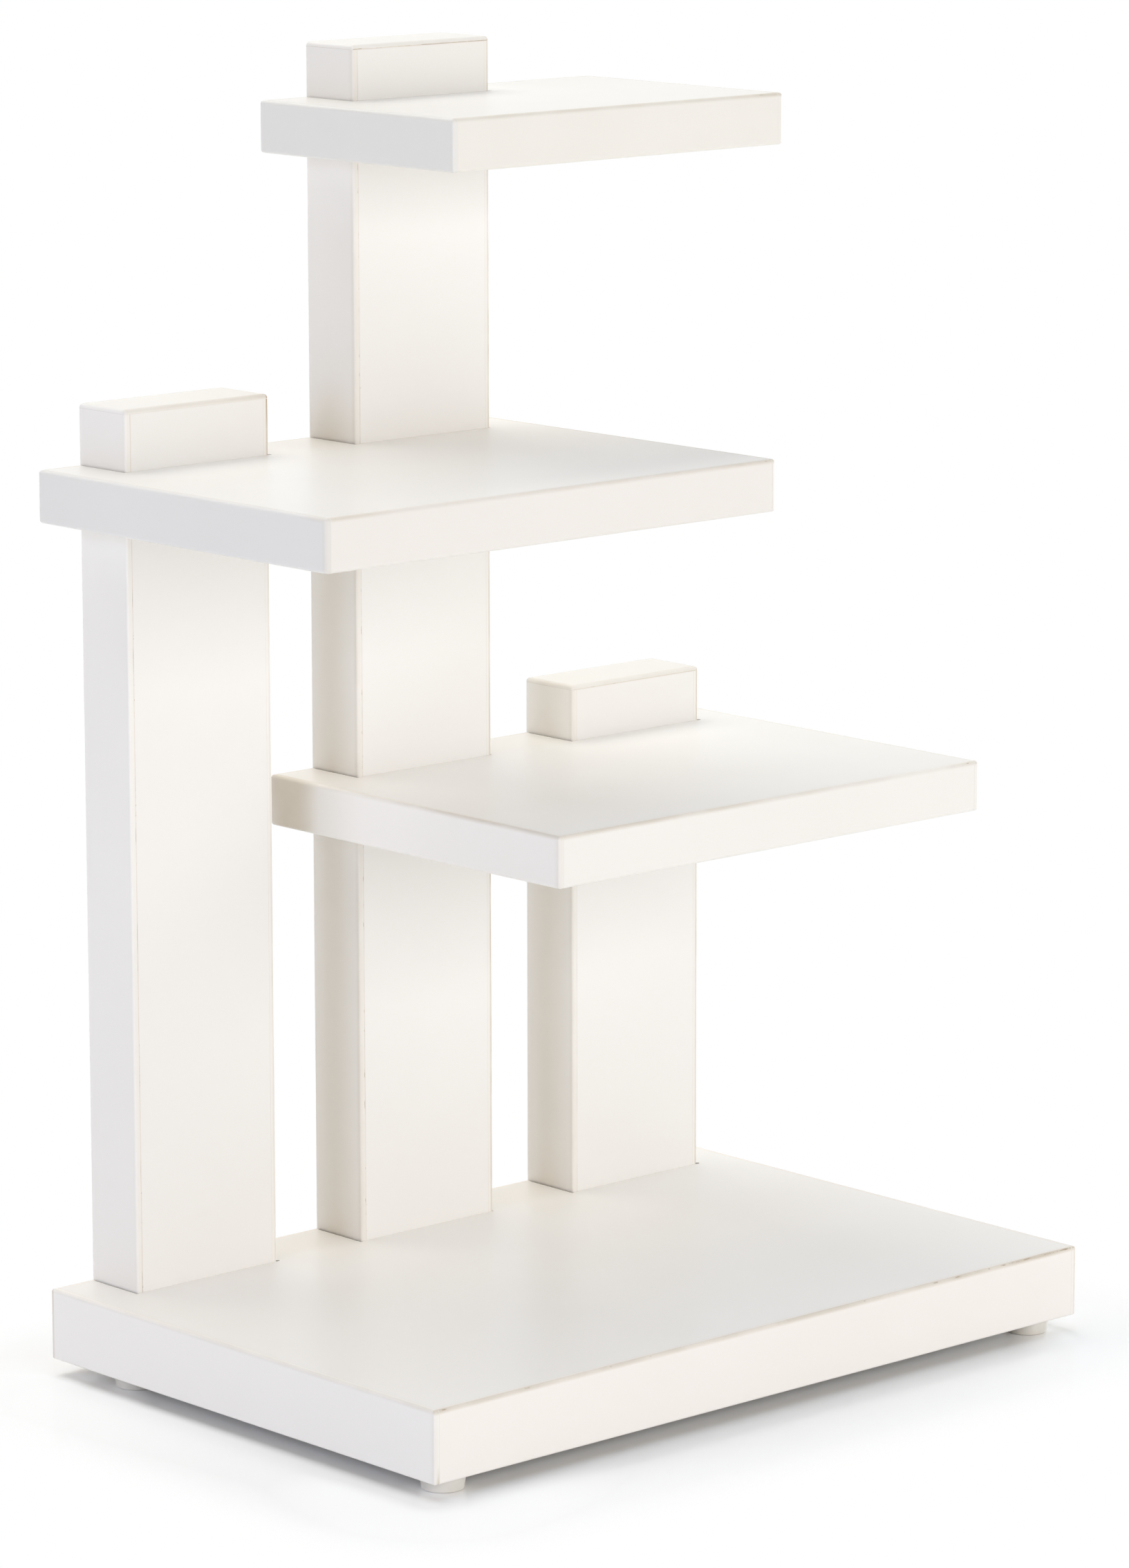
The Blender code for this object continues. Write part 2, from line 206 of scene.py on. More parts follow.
# Stations along a block's sides
LONG_SIDE = 0.010  # takes extra stations for the marks
SHORT_SIDE = 4 * SEAM_SPREAD  # takes none beside its seams
FINE_DIGITS = 7
STATION_DIGITS = 8


class Mark(NamedTuple):
    """A stretch along one edge of a band with grime, nicks or painted shade."""

    band: str
    edge: tuple  # the sides of the band's box that meet there
    spread: float
    stretch: tuple  # its ends, as shares of the edge's length
    tan: tuple  # at its ends; above 1 it goes over into brown
    nicks: tuple = (0.0, 0.0)  # at its ends


MARKS = (
    Mark("base_front", ("front", "top"), ARRIS_SPREAD, (0.0, 1.0), (0.85, 0.95), (0.15, 0.25)),
    Mark("base_front", ("front", "top"), ARRIS_SPREAD, (0.0, 0.035), (1.2, 0.9), (0.6, 0.2)),
    Mark("base_front", ("front", "top"), ARRIS_SPREAD, (0.80, 1.0), (1.0, 1.25), (0.35, 0.95)),
    Mark("base_right", ("front", "top"), ARRIS_SPREAD, (0.0, 1.0), (1.2, 1.2), (0.95, 0.95)),
    Mark("base_right", ("right", "top"), ARRIS_SPREAD, (0.0, 0.1), (1.1, 0.6), (0.7, 0.3)),
    Mark("base_right", ("right", "top"), ARRIS_SPREAD, (0.1, 1.0), (0.6, 0.5)),
    Mark("base_right", ("right", "front"), LINE_SPREAD, (0.0, 1.0), (0.7, 0.8)),
    Mark("base_left", ("front", "top"), ARRIS_SPREAD, (0.0, 1.0), (1.1, 1.2), (0.5, 0.5)),
    Mark("base_left", ("left", "top"), ARRIS_SPREAD, (0.0, 1.0), (0.45, 0.25), (0.08, 0.0)),
    Mark("base_left", ("left", "front"), STRIP_SPREAD, (0.0, 1.0), (0.25, 0.25)),
    Mark("base_left", ("left", "back"), LINE_SPREAD, (0.0, 1.0), (0.9, 1.4), (0.0, 0.3)),
    Mark("base_left", ("right", "front"), ARRIS_SPREAD, (0.0, 0.2), (1.1, 0.3), (0.4, 0.1)),
    Mark("lower_shelf_front", ("front", "top"), ARRIS_SPREAD, (0.0, 1.0), (0.90, 0.30), (0.05, 0.10)),
    Mark("lower_shelf_front", ("front", "top"), ARRIS_SPREAD, (0.93, 1.0), (0.4, 0.9), (0.2, 0.6)),
    Mark("lower_shelf_right", ("front", "top"), ARRIS_SPREAD, (0.0, 1.0), (0.9, 0.9), (0.6, 0.6)),
    Mark("lower_shelf_left", ("front", "top"), ARRIS_SPREAD, (0.0, 1.0), (0.9, 0.9), (0.2, 0.2)),
    Mark("lower_shelf_left", ("left", "top"), ARRIS_SPREAD, (0.0, 1.0), (0.80, 0.10), (0.05, 0.0)),
    Mark("lower_shelf_left", ("left", "front"), STRIP_SPREAD, (0.0, 1.0), (0.35, 0.35)),
    # painted shade on the back end of the lower shelf's left band, in the narrow space between the left and
    # centre posts
    Mark("lower_shelf_left", ("left", "back"), GAP_SHADE_SPREAD, (0.0, 1.0), (0.75, 0.75)),
    Mark("middle_shelf_front", ("front", "top"), ARRIS_SPREAD, (0.0, 1.0), (0.30, 0.65), (0.05, 0.20)),
    Mark("middle_shelf_front", ("front", "top"), ARRIS_SPREAD, (0.0, 0.13), (0.8, 0.4), (0.45, 0.35)),
    Mark("middle_shelf_front", ("front", "top"), ARRIS_SPREAD, (0.85, 1.0), (0.6, 1.1), (0.30, 0.65)),
    Mark("middle_shelf_right", ("front", "top"), ARRIS_SPREAD, (0.0, 1.0), (1.1, 1.1), (0.7, 0.7)),
    Mark("middle_shelf_left", ("front", "top"), ARRIS_SPREAD, (0.0, 1.0), (0.6, 0.6), (0.4, 0.4)),
    Mark("middle_shelf_left", ("left", "top"), ARRIS_SPREAD, (0.0, 0.06), (0.6, 0.3), (0.40, 0.30)),
    Mark("middle_shelf_left", ("left", "front"), STRIP_SPREAD, (0.0, 1.0), (0.40, 0.40)),
    Mark("top_shelf_front", ("front", "top"), ARRIS_SPREAD, (0.0, 1.0), (0.55, 0.60), (0.10, 0.20)),
    Mark("top_shelf_front", ("front", "top"), ARRIS_SPREAD, (0.9, 1.0), (0.6, 1.0), (0.3, 0.6)),
    Mark("top_shelf_right", ("front", "top"), ARRIS_SPREAD, (0.0, 1.0), (1.0, 1.0), (0.6, 0.6)),
    Mark("top_shelf_left", ("front", "top"), ARRIS_SPREAD, (0.0, 1.0), (0.55, 0.55), (0.3, 0.3)),
    Mark("top_shelf_left", ("left", "top"), ARRIS_SPREAD, (0.0, 1.0), (0.20, 0.10), (0.05, 0.0)),
    Mark("top_shelf_left", ("left", "front"), STRIP_SPREAD, (0.0, 1.0), (0.15, 0.15)),
    Mark("left_post_top", ("front", "top"), CAP_SPREAD, (0.0, 1.0), (0.50, 0.75), (0.0, 0.15)),
    Mark("left_post_top", ("right", "front"), LINE_SPREAD, (0.0, 1.0), (2.0, 2.0)),
    Mark("left_post_right", ("right", "front"), LINE_SPREAD, (0.0, 0.93), (0.6, 0.6)),
    Mark("left_post_right", ("right", "front"), LINE_SPREAD, (0.93, 1.0), (2.0, 2.0)),
    Mark("left_post_left", ("left", "front"), STRIP_SPREAD, (0.0, 1.0), (0.08, 0.08)),
    Mark("centre_post_top", ("front", "top"), CAP_SPREAD, (0.0, 1.0), (0.15, 0.20)),
    Mark("centre_post_top", ("front", "bottom"), SEAM_SPREAD, (0.0, 0.1), (1.5, 0.6), (0.8, 0.2)),
    Mark("centre_post_top", ("front", "bottom"), SEAM_SPREAD, (0.2, 1.0), (0.7, 1.5), (0.3, 0.8)),
    Mark("centre_post_top", ("right", "front"), LINE_SPREAD, (0.0, 1.0), (1.0, 1.0)),
    Mark("centre_post_right", ("right", "front"), LINE_SPREAD, (0.0, 1.0), (1.45, 1.15), (0.15, 0.15)),
    Mark("centre_post_left", ("left", "front"), STRIP_SPREAD, (0.0, 1.0), (0.35, 0.30)),
    Mark("centre_post_left", ("right", "front"), SEAM_SPREAD, (0.0, 1.0), (0.4, 0.4), (0.3, 0.3)),
    Mark("right_post_top", ("front", "top"), CAP_SPREAD, (0.0, 1.0), (0.43, 0.43)),
    Mark("right_post_top", ("front", "bottom"), SEAM_SPREAD, (0.0, 1.0), (0.9, 1.1), (0.1, 0.1)),
    Mark("right_post_top", ("left", "top"), CAP_SPREAD, (0.0, 1.0), (0.40, 0.40)),
    Mark("right_post_top", ("right", "front"), LINE_SPREAD, (0.0, 1.0), (1.0, 1.0)),
    Mark("right_post_right", ("right", "front"), LINE_SPREAD, (0.0, 1.0), (1.45, 1.2)),
    Mark("right_post_left", ("left", "front"), STRIP_SPREAD, (0.0, 1.0), (0.25, 0.30)),
)

# How dirty the seams are: those that show, and all others
SEAM_SOIL = {
    ("left_post", "left"): 0.50,
    ("centre_post", "left"): 0.20,
    ("centre_post", "top"): 0.15,
    ("right_post", "left"): 0.15,
    ("right_post", "top"): 0.10,
}
LIGHT_SOIL = 0.02

# Painted shade on the boards at the feet of the posts, beside the gaps of their notches: along their left
# sides, and a painted shadow spot at the right front corner of some
POST_FOOT_SHADE = {
    "base": {"left_post": 0.60, "centre_post": 0.85, "right_post": 0.85},
    "lower_shelf": {"centre_post": 0.75, "right_post": 0.75},
    "middle_shelf": {"left_post": 0.50, "centre_post": 0.75},
    "top_shelf": {"centre_post": 0.30},
}
POST_FOOT_SHADE_CORE = 0.0002
POST_FOOT_SHADE_REACH = 0.0008
POST_FOOT_SHADE_GRAIN = (900.0, 2.0)
POST_FOOT_SHADE_RAGGED = (0.75, 1.25)
POST_FOOT_SHADOW_SPOTS = {
    "base": ("left_post", "right_post"),
    "lower_shelf": ("right_post",),
    "middle_shelf": ("left_post",),
    "top_shelf": ("centre_post",),
}
SHADOW_SPOT_RADIUS = 0.0009
SHADOW_SPOT_CORE = 0.5 * SHADOW_SPOT_RADIUS
SHADOW_SPOT_SHIFT = (0.0007, 0.0002)  # from the post's corner

# Shape of the feet
FOOT_STEPS = 64
FOOT_ROUND = 0.0006
FOOT_TAPER = 0.0006  # from the disc's rim to its sole
FOOT_SEAT = 0.0002  # between the disc and the base
FOOT_ROUND_STEPS = 6
STEM_RADIUS = 0.0025

BOARDS = ("base", "lower_shelf", "middle_shelf", "top_shelf")
POSTS = ("left_post", "centre_post", "right_post")
BOARD_SEAMS = ("left", "right", "front", "back")
POST_SEAMS = ("left", "right", "top")

# The sides of a box: the axis across each, and whether it is at the axis's low or high end
AXES = {"left": (0, 0), "right": (0, 1), "front": (1, 0), "back": (1, 1), "bottom": (2, 0), "top": (2, 1)}

# The sockets of a colour mix: its factor and two colours, and what comes out
MIX_INPUTS = (0, 6, 7)
MIX_RESULT = 2


class Nodes:
    """Short ways to add and link the nodes of one tree."""

    def __init__(self, tree):
        self.tree = tree

    def add(self, kind, **settings):
        node = self.tree.nodes.new(kind)
        for key, value in settings.items():
            setattr(node, key, value)
        return node

    def feed(self, socket, value):
        """Links an output to a socket, or sets the socket to a plain value."""
        if isinstance(value, bpy.types.NodeSocket):
            self.tree.links.new(value, socket)
        elif isinstance(value, tuple) and len(value) == 3 and socket.type == "RGBA":
            socket.default_value = (*value, 1.0)
        else:
            socket.default_value = value

    def math(self, operation, first, second=0.0):
        node = self.add("ShaderNodeMath", operation=operation)
        for socket, value in zip(node.inputs, (first, second)):
            self.feed(socket, value)
        return node.outputs[0]

    def blend(self, factor, first, second):
        """One surface or background that goes over into another."""
        node = self.add("ShaderNodeMixShader")
        for socket, value in zip(node.inputs, (factor, first, second)):
            self.feed(socket, value)
        return node.outputs[0]

    def seen(self):
        """1 for what the camera sees, also in reflections and through clear things, and 0 for plain light."""
        path = self.add("ShaderNodeLightPath")
        factor = path.outputs["Is Camera Ray"]
        for ray in ("Is Glossy Ray", "Is Transmission Ray"):
            factor = self.math("MAXIMUM", factor, path.outputs[ray])
        return factor


class Shader(Nodes):
    """The nodes of one material."""

    def __init__(self, name):
        self.material = bpy.data.materials.new(name)
        self.material.use_nodes = True
        super().__init__(self.material.node_tree)
        self.surface = self.tree.nodes["Principled BSDF"]
        self.output = self.tree.nodes["Material Output"]
        self.place = self.add("ShaderNodeTexCoord").outputs["Object"]

    def set(self, name, value):
        self.feed(self.surface.inputs[name], value)

    def coordinates(self):
        node = self.add("ShaderNodeSeparateXYZ")
        self.feed(node.inputs[0], self.place)
        return node.outputs

    def stretch(self, scale):
        node = self.add("ShaderNodeMapping")
        self.feed(node.inputs["Vector"], self.place)
        node.inputs["Scale"].default_value = scale
        return node.outputs["Vector"]

    def distance(self, point, vector=None):
        node = self.add("ShaderNodeVectorMath", operation="DISTANCE")
        self.feed(node.inputs[0], vector or self.place)
        node.inputs[1].default_value = point
        return node.outputs["Value"]

    def attribute(self, name):
        return self.add("ShaderNodeAttribute", attribute_name=name).outputs["Fac"]

    def ramp(self, value, low, high, start=0.0, end=1.0):
        """A smooth step from start, at the low value, to end, at the high one."""
        node = self.add("ShaderNodeMapRange", interpolation_type="SMOOTHSTEP")
        for socket, given in zip(node.inputs, (value, low, high, start, end)):
            self.feed(socket, given)
        return node.outputs["Result"]

    def mix(self, factor, first, second):
        node = self.add("ShaderNodeMix", data_type="RGBA")
        for socket, value in zip(MIX_INPUTS, (factor, first, second)):
            self.feed(node.inputs[socket], value)
        return node.outputs[MIX_RESULT]

    def noise(self, scale=1.0, detail=PLAIN_DETAIL, vector=None):
        node = self.add("ShaderNodeTexNoise")
        self.feed(node.inputs["Vector"], vector or self.place)
        self.feed(node.inputs["Scale"], scale)
        self.feed(node.inputs["Detail"], detail)
        return node.outputs["Fac"]

    def noise_along(self, run, scale, detail):
        """A noise that changes only with a run along a piece."""
        node = self.add("ShaderNodeTexNoise", noise_dimensions="1D")
        self.feed(node.inputs["W"], run)
        self.feed(node.inputs["Scale"], scale)
        self.feed(node.inputs["Detail"], detail)
        return node.outputs["Fac"]

    def specks(self, vector):
        """Small round spots, one in some of the cells of a grid of points."""
        node = self.add("ShaderNodeTexVoronoi", feature="F1")
        self.feed(node.inputs["Vector"], vector)
        self.feed(node.inputs["Scale"], SPECK_SCALE)
        bare = 1.0 - SPECK_SHARE
        chosen = self.ramp(node.outputs["Color"], bare, bare + SPECK_STEP)
        radius = SPECK_RADIUS * SPECK_SCALE
        spot = self.ramp(node.outputs["Distance"], radius * SPECK_CORE, radius, 1.0, 0.0)
        return self.math("MULTIPLY", chosen, spot)

    def bump(self, height, strength, distance):
        node = self.add("ShaderNodeBump")
        self.feed(node.inputs["Height"], height)
        node.inputs["Strength"].default_value = strength
        node.inputs["Distance"].default_value = distance
        return node.outputs["Normal"]


def seam_soil(owner, side):
    return SEAM_SOIL.get((owner, side), LIGHT_SOIL)


def add_rims(shader, colour, owner, seams):
    """Soils and chips a facing along its cut edges, more beside a dirty seam."""
    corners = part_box(f"{owner}_panel")
    place = shader.coordinates()
    patches = shader.ramp(shader.noise(*RIM_PATCH_GRAIN), *RIM_PATCHES)
    broken = shader.ramp(shader.noise(*RIM_BREAK_GRAIN), *RIM_BREAKS, 0.0, RIM_BREAK_DEPTH)
    broken = shader.math("MULTIPLY", broken, patches)
    for side in seams:
        axis, end = AXES[side]
        soil = seam_soil(owner, side)
        away = shader.math("ABSOLUTE", shader.math("SUBTRACT", place[axis], corners[end][axis]))
        rim = shader.ramp(away, 0.0, RIM_REACH, RIM_STRENGTH * soil, 0.0)
        colour = shader.mix(rim, colour, GLUE_TAN)
        chipped = shader.math("MULTIPLY", shader.math("LESS_THAN", away, broken), soil)
        colour = shader.mix(chipped, colour, CORE_BROWN)
    return colour


def add_post_foot_shade(shader, colour, board):
    """Painted shade on a board along the left feet of its posts, and painted shadow spots at some right front
    corners.
    """
    place = shader.coordinates()
    ragged = shader.ramp(shader.noise(*POST_FOOT_SHADE_GRAIN), *MIDDLE, *POST_FOOT_SHADE_RAGGED)
    # the strength of the painted shade along each post's left foot
    for post, darkening in POST_FOOT_SHADE.get(board, {}).items():
        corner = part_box(f"{post}_left_edge_band")[0]
        beside = shader.math("ABSOLUTE", shader.math("SUBTRACT", corner.x - NOTCH_GAP, place["X"]))
        away = shader.math("MAXIMUM", beside, shader.math("SUBTRACT", corner.y, place["Y"]))
        away = shader.math("MULTIPLY", away, ragged)
        colour = shader.mix(shader.ramp(away, POST_FOOT_SHADE_CORE, POST_FOOT_SHADE_REACH, darkening, 0.0), colour, DIRT_AND_SHADE_BROWN)
    flat = shader.stretch((1.0, 1.0, 0.0))
    for post in POST_FOOT_SHADOW_SPOTS.get(board, ()):
        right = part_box(f"{post}_right_edge_band")[1].x
        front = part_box(f"{post}_panel")[0].y
        spot = (right + SHADOW_SPOT_SHIFT[0], front + SHADOW_SPOT_SHIFT[1], 0.0)
        away = shader.math("MULTIPLY", shader.distance(spot, flat), ragged)
        colour = shader.mix(shader.ramp(away, SHADOW_SPOT_CORE, SHADOW_SPOT_RADIUS, 1.0, 0.0), colour, DIRT_AND_SHADE_BROWN)
    return colour


def board_finish(owner, seams, facing):
    """White melamine facing: faintly stained along its cut edges, a few specks, painted shade at the posts'
    feet, a satin gloss.
    """
    shader = Shader(f"{owner}_facing")
    tone = shader.noise(*BOARD_GRAIN)
    colour = shader.mix(shader.ramp(tone, *MIDDLE), BOARD_WHITE, BOARD_SHADE)
    colour = add_rims(shader, colour, owner, seams)
    flat = [0.0 if axis == AXES[facing][0] else 1.0 for axis in range(3)]
    specks = shader.specks(shader.stretch(flat))
    colour = shader.mix(shader.math("MULTIPLY", specks, SPECK_STRENGTH), colour, DIRT_AND_SHADE_BROWN)
    # painted shade and painted shadow spots at the feet of the posts
    colour = add_post_foot_shade(shader, colour, owner)
    shader.set("Base Color", colour)

    smear = shader.noise(*BOARD_SMEAR_GRAIN)
    shader.set("Roughness", shader.ramp(smear, *MIDDLE, *BOARD_ROUGHNESS))
    pearl = shader.noise(*BOARD_PEARL_GRAIN)
    shader.set("Normal", shader.bump(pearl, *BOARD_BUMP))
    return shader.material


def add_nicks(shader, colour):
    """Dashes of bare core along the nicked edges of a band."""
    nicks = shader.attribute("nicks")
    dashes = shader.noise_along(shader.attribute("run"), *NICK_GRAIN)
    ragged = shader.math("MULTIPLY", shader.noise(*NICK_EDGE_GRAIN), NICK_EDGE_SHARE)
    weight = shader.math("MULTIPLY", nicks, NICK_WEIGHT)
    spots = shader.math("ADD", shader.math("ADD", dashes, ragged), weight)
    spots = shader.ramp(spots, *NICK_STEP, 0.0, NICK_STRENGTH)
    nicked = shader.math("MULTIPLY", spots, shader.ramp(nicks, *NICK_ONSET))
    return shader.mix(nicked, colour, CORE_BROWN)


def band_finish(name, tint):
    """Warm white plastic band: tan to brown along grimy edges, tan painted shade at the back end of the lower
    shelf's left band, nicked in places, chipped to the core.
    """
    shader = Shader(f"{name}_band")
    white = tuple(a * b for a, b in zip(BAND_WHITE, tint))
    shade = tuple(a * b for a, b in zip(BAND_SHADE, tint))
    tone = shader.noise(*BAND_GRAIN)
    colour = shader.mix(shader.ramp(tone, *MIDDLE), white, shade)

    patches = shader.ramp(shader.noise(*GRIME_AND_SHADE_GRAIN), *GRIME_AND_SHADE_PATCHES, *GRIME_AND_SHADE_STRENGTHS)
    # grime along the marked edges, and painted shade at the back end of the lower shelf's left band
    darkened = shader.math("MULTIPLY", shader.attribute("tan"), patches)
    colour = shader.mix(darkened, colour, GRIME_AND_SHADE_TAN)
    colour = shader.mix(shader.math("SUBTRACT", darkened, 1.0), colour, RUBBED_BROWN)
    colour = add_nicks(shader, colour)

    chip = shader.attribute("chip")
    grain = shader.noise(*CHIP_GRAIN)
    core = shader.mix(shader.ramp(grain, *NARROW_MIDDLE), CORE_BROWN, GLUE_TAN)
    shader.set("Base Color", shader.mix(chip, colour, core))

    gloss = shader.ramp(shader.noise(*BAND_GLOSS_GRAIN), *MIDDLE, *BAND_ROUGHNESS)
    bare = shader.math("MULTIPLY", chip, CHIP_ROUGHNESS)
    matt = shader.math("ADD", bare, shader.math("MULTIPLY", darkened, GRIME_ROUGHNESS))
    shader.set("Roughness", shader.math("ADD", gloss, matt))
    shader.set("Specular IOR Level", shader.ramp(darkened, 0.0, 1.0, *BAND_SPECULAR))
    scrape = shader.noise(vector=shader.stretch(BAND_SCRAPES))
    shader.set("Normal", shader.bump(scrape, *BAND_BUMP))
    return shader.material


def glue_finish(owner):
    """Pale glue in a joint, yellowed and darker in places where dirt has gathered."""
    shader = Shader(f"{owner}_glue")
    soil = shader.attribute("soil")
    shade = shader.noise(*GLUE_GRAIN)
    yellowed = shader.math("MULTIPLY", shader.ramp(shade, *MIDDLE, *GLUE_YELLOWED), soil)
    colour = shader.mix(yellowed, GLUE_PALE, GLUE_TAN)
    darkening = shader.math("MULTIPLY", shader.ramp(shader.noise(*GLUE_DIRT_GRAIN), *GLUE_DIRT), soil)
    shader.set("Base Color", shader.mix(darkening, colour, DIRT_AND_SHADE_BROWN))
    shader.set("Roughness", GLUE_ROUGHNESS)
    shader.set("Normal", shader.bump(shade, *GLUE_BUMP))
    return shader.material


def foot_finish():
    """Off-white moulded plastic, slightly waxy."""
    shader = Shader("foot_plastic")
    shade = shader.noise(*FOOT_GRAIN)
    shader.set("Base Color", shader.mix(shader.ramp(shade, *NARROW_MIDDLE), FOOT_WHITE, FOOT_SHADE))
    shader.set("Roughness", shader.ramp(shade, *MIDDLE, *FOOT_ROUGHNESS))
    shader.set("Subsurface Weight", FOOT_DEPTH_SHARE)
    shader.set("Subsurface Radius", FOOT_DEPTH)
    shader.set("Normal", shader.bump(shader.noise(*FOOT_PEARL_GRAIN), *FOOT_BUMP))
    return shader.material


def dowel_finish():
    """Raw beech with its grain along the dowel."""
    shader = Shader("dowel_beech")
    grain = shader.noise(detail=BEECH_DETAIL, vector=shader.stretch(BEECH_STRETCH))
    shader.set("Base Color", shader.mix(shader.ramp(grain, *MIDDLE), BEECH_LIGHT, BEECH_DARK))
    shader.set("Roughness", BEECH_ROUGHNESS)
    shader.set("Normal", shader.bump(grain, *BEECH_BUMP))
    return shader.material


def set_material(obj, material):
    obj.data.materials.clear()
    obj.data.materials.append(material)


def stations(low, high, round_low, round_high, radii, step):
    """Places along one side of a block, close together over roundings at its ends, a step apart between."""
    fine = {round(radius * i / ROUND_STEPS, FINE_DIGITS) for radius in radii for i in range(ROUND_STEPS)}
    reach = max(radii)
    if high - low > LONG_SIDE:
        fine |= {reach, ARRIS_SPREAD, STRIP_SPREAD}
        reach = LONG_SIDE / 2
    inset = SEAM_SPREAD if high - low > SHORT_SIDE else 0.0
    start = low + (reach if round_low else inset)
    end = high - (reach if round_high else inset)
    middle = np.linspace(start, end, max(2, int(np.ceil((end - start) / step)) + 1))
    fine = [d for d in fine if d < reach]
    before = [low + d for d in fine] if round_low else [low]
    after = [high - d for d in fine] if round_high else [high]
    return np.unique(np.round(np.concatenate((before, middle, after)), STATION_DIGITS))


def block_grid(low, high, exposed, edge_radius, corner_radius, step):
    """Points and quads of a block's six sides, divided finely enough to be rounded and worn."""
    sides = []
    for axis, (first, second) in enumerate((("left", "right"), ("front", "back"), ("bottom", "top"))):
        radii = (edge_radius, corner_radius) if axis < 2 else (edge_radius,)
        sides.append(stations(low[axis], high[axis], first in exposed, second in exposed, radii, step))
    counts = [len(side) for side in sides]
    grid = np.stack(np.meshgrid(*sides, indexing="ij"), axis=-1)
    faces = [(axis, end, (slice(None),) * axis + (end,)) for axis in range(3) for end in (0, -1)]
    outside = np.zeros(counts, bool)
    for _, _, face in faces:
        outside[face] = True
    number = np.full(counts, -1)
    number[outside] = np.arange(outside.sum())
    quads = []
    for axis, end, face in faces:
        sheet = number[face]
        ring = [sheet[:-1, :-1], sheet[1:, :-1], sheet[1:, 1:], sheet[:-1, 1:]]
        turned = (end == 0) == (axis != 1)  # so that every quad faces outwards
        quads.append(np.stack(ring[::-1] if turned else ring, axis=-1).reshape(-1, 4))
    return grid[outside], np.concatenate(quads)


def depths(points, low, high, sides):
    """How deep each point lies behind the nearest of some sides, and the direction out of that side."""
    ends = (low, high)
    depth = np.full(len(points), np.inf)
    outward = np.zeros((len(points), 3))
    for side in sides:
        axis, end = AXES[side]
        away = np.abs(points[:, axis] - ends[end][axis])
        nearer = away < depth
        depth[nearer] = away[nearer]
        outward[nearer] = 0.0
        outward[nearer, axis] = 1.0 if end else -1.0
    return depth, outward


def rounded(points, low, high, exposed, edge_radius, corner_radius):
    """Moves the points of a block onto roundings at its upright corners and along its level edges.

    Returns them with the directions out of the roundings, and with their share of a rounding, from 0 on a
    flat side to 1 in the middle of a rounded edge.
    """
    points = np.array(points, float)
    across_axes = [[side for side in exposed if AXES[side][0] == axis] for axis in range(3)]
    depth_x, out_x = depths(points, low, high, across_axes[0])
    depth_y, out_y = depths(points, low, high, across_axes[1])
    depth_z, out_z = depths(points, low, high, across_axes[2])
    nearer = depth_x < depth_y
    depth = np.where(nearer, depth_x, depth_y)
    plan = np.where(nearer[:, None], out_x, out_y)

    across, along = corner_radius - depth_x, corner_radius - depth_y
    corner = (across > 0.0) & (along > 0.0)
    across, along = np.where(corner, across, 1.0), np.where(corner, along, 1.0)
    length = np.hypot(across, along)
    bent = (out_x * across[:, None] + out_y * along[:, None]) / length[:, None]
    reach = np.maximum(across, along)
    moved = bent * reach[:, None] - out_x * across[:, None] - out_y * along[:, None]
    points[corner] += moved[corner]
    plan[corner] = bent[corner]
    depth[corner] = corner_radius - reach[corner]
    share = np.where(corner & (depth_z > 0.0), np.minimum(across, along) / reach, 0.0)
    outward = plan.copy()

    level, upright = edge_radius - depth, edge_radius - depth_z
    rim = (level > 0.0) & (upright > 0.0)
    level, upright = np.where(rim, level, 1.0), np.where(rim, upright, 1.0)
    scale = np.minimum(1.0, edge_radius / np.hypot(level, upright))
    shift = plan * (level * (scale - 1.0))[:, None] + out_z * (upright * (scale - 1.0))[:, None]
    points[rim] += shift[rim]
    tilted = plan * (level * scale / edge_radius)[:, None] + out_z * (upright * scale / edge_radius)[:, None]
    outward[rim] = tilted[rim]
    share[rim] = np.maximum(share, np.minimum(level, upright) / np.maximum(level, upright))[rim]
    return points, outward, share


def marks_of(node):
    return [mark for mark in MARKS if f"{mark.band}_edge_band" == node]


def marks_on(node, points):
    """How tan each point of a band is, from grime and painted shade, and how nicked, from the marks along its
    edges.
    """
    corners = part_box(node)
    tan = np.zeros(len(points))
    nicks = np.zeros(len(points))
    for mark in marks_of(node):
        axes = [AXES[side][0] for side in mark.edge]
        line = [corners[AXES[side][1]][AXES[side][0]] for side in mark.edge]
        run = 3 - sum(axes)  # the third axis
        length = corners[1][run] - corners[0][run]
        along = (points[:, run] - corners[0][run]) / length
        past = np.maximum(np.maximum(mark.stretch[0] - along, along - mark.stretch[1]), 0.0) * length
        away = np.linalg.norm(points[:, axes] - np.array(line), axis=1)
        inside = np.clip(1.0 - past / MARK_END, 0.0, 1.0)
        near = inside * np.clip(MARK_FALL * (1.0 - away / mark.spread), 0.0, 1.0)
        tan = np.maximum(tan, near * np.interp(along, mark.stretch, mark.tan))
        near = inside * np.clip(MARK_FALL * (1.0 - away / min(mark.spread, NICK_SPREAD)), 0.0, 1.0)
        nicks = np.maximum(nicks, near * np.interp(along, mark.stretch, mark.nicks))
    return tan, nicks


def noise_at(points, scale, shift):
    return np.array([noise.noise(Vector(p) * scale + Vector((shift, shift, shift))) for p in points])


def new_mesh_object(name, points, faces, material, attributes=None):
    mesh = bpy.data.meshes.new(name)
    mesh.from_pydata([tuple(p) for p in points], [], [tuple(f) for f in faces])
    mesh.validate()
    for key, values in (attributes or {}).items():
        layer = mesh.attributes.new(key, "FLOAT", "POINT")
        layer.data.foreach_set("value", np.asarray(values, np.float32))
    mesh.shade_smooth()
    mesh.set_sharp_from_angle(angle=radians(SHARP_ANGLE))
    mesh.materials.append(material)
    obj = bpy.data.objects.new(name, mesh)
    bpy.context.scene.collection.objects.link(obj)
    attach(obj, "root")
    return obj


